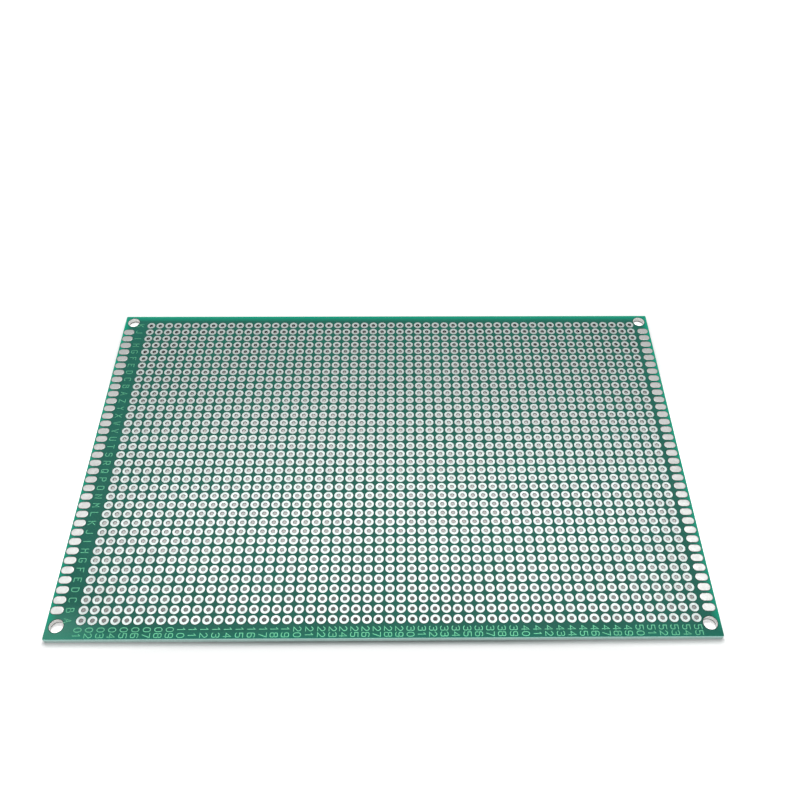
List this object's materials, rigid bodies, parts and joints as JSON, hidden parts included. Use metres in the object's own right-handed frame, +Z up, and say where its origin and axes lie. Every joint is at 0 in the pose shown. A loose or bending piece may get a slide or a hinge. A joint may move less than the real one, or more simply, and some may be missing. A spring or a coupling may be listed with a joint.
{
  "type": "prototype circuit board",
  "caption": "Flat rectangular double-sided prototype circuit board with a square grid of plated holes, solid pads along both short edges and a fixing hole in each corner.",
  "frame": {"origin": "centre of the coated plate's underside; the lower pads stand 0.04 mm below it", "axes": "+X along the long side from the first column of holes to the last, +Y from the first row of holes to the last, +Z up through the top face"},
  "size_m": [0.15, 0.0996, 0.0016],
  "materials": {
    "coated_laminate": "glossy green coating over glass-epoxy laminate",
    "tinned_copper": "bright tinned copper",
    "bare_laminate": "matt cut edge of the glass-epoxy laminate"
  },
  "bodies": {
    "root": {"substrate": "coated_laminate", "plated_holes_row_01": "tinned_copper", "plated_holes_row_02": "tinned_copper", "plated_holes_row_03": "tinned_copper", "plated_holes_row_04": "tinned_copper", "plated_holes_row_05": "tinned_copper", "plated_holes_row_06": "tinned_copper", "plated_holes_row_07": "tinned_copper", "plated_holes_row_08": "tinned_copper", "plated_holes_row_09": "tinned_copper", "plated_holes_row_10": "tinned_copper", "plated_holes_row_11": "tinned_copper", "plated_holes_row_12": "tinned_copper", "plated_holes_row_13": "tinned_copper", "plated_holes_row_14": "tinned_copper", "plated_holes_row_15": "tinned_copper", "plated_holes_row_16": "tinned_copper", "plated_holes_row_17": "tinned_copper", "plated_holes_row_18": "tinned_copper", "plated_holes_row_19": "tinned_copper", "plated_holes_row_20": "tinned_copper", "plated_holes_row_21": "tinned_copper", "plated_holes_row_22": "tinned_copper", "plated_holes_row_23": "tinned_copper", "plated_holes_row_24": "tinned_copper", "plated_holes_row_25": "tinned_copper", "plated_holes_row_26": "tinned_copper", "plated_holes_row_27": "tinned_copper", "plated_holes_row_28": "tinned_copper", "plated_holes_row_29": "tinned_copper", "plated_holes_row_30": "tinned_copper", "plated_holes_row_31": "tinned_copper", "plated_holes_row_32": "tinned_copper", "plated_holes_row_33": "tinned_copper", "plated_holes_row_34": "tinned_copper", "plated_holes_row_35": "tinned_copper", "plated_holes_row_36": "tinned_copper", "plated_holes_row_37": "tinned_copper", "edge_pads_top_left": "tinned_copper", "edge_pads_top_right": "tinned_copper", "edge_pads_bottom_left": "tinned_copper", "edge_pads_bottom_right": "tinned_copper"}
  },
  "joints": []
}
